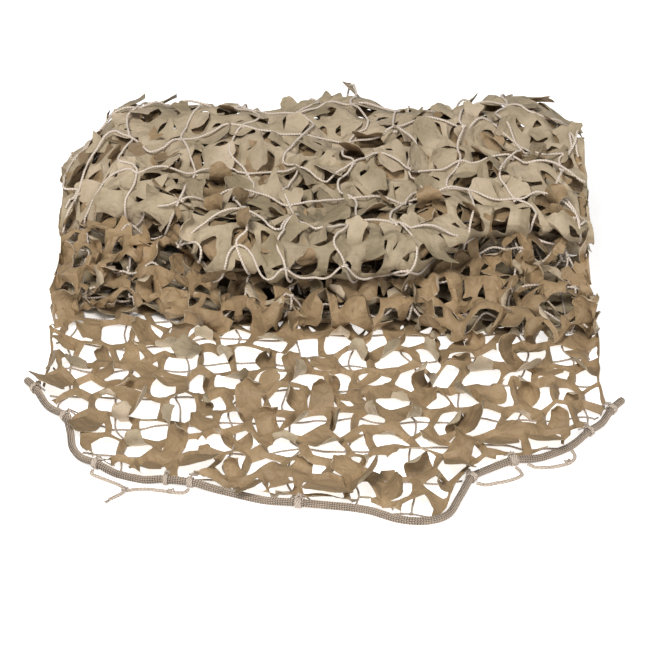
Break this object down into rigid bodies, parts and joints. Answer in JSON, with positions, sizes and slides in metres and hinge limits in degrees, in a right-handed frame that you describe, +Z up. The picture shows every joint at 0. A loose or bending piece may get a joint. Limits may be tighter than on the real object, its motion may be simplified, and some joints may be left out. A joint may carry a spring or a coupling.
{
  "type": "camouflage netting",
  "caption": "Two-tone leaf-cut camouflage cloth backed by knotted twine net, with a braided rope tied to its front edge, laid flat in front and heaped in folds behind.",
  "frame": {"origin": "on the floor, under the middle of the netting's length and width", "axes": "+Y from the roped front edge towards the heap at the back, +X to the right as seen from the roped edge, +Z up"},
  "size_m": [0.6102, 0.7486, 0.1328],
  "materials": {
    "tan_cloth": "matt coated cloth, tan on one side and beige on the other",
    "net_twine": "twisted off-white twine",
    "braided_rope": "braided greige rope",
    "tie_twine": "twisted off-white twine"
  },
  "bodies": {
    "root": {"garnish_cloth": "tan_cloth", "net": "net_twine", "border_rope": "braided_rope", "tie_1": "tie_twine", "tie_2": "tie_twine", "tie_3": "tie_twine", "tie_4": "tie_twine", "tie_5": "tie_twine", "tie_6": "tie_twine", "tie_7": "tie_twine", "tie_8": "tie_twine", "tie_9": "tie_twine", "tie_10": "tie_twine", "tie_end": "tie_twine", "tie_slack_left": "tie_twine", "tie_slack_right": "tie_twine", "tie_loop": "tie_twine"}
  },
  "joints": []
}
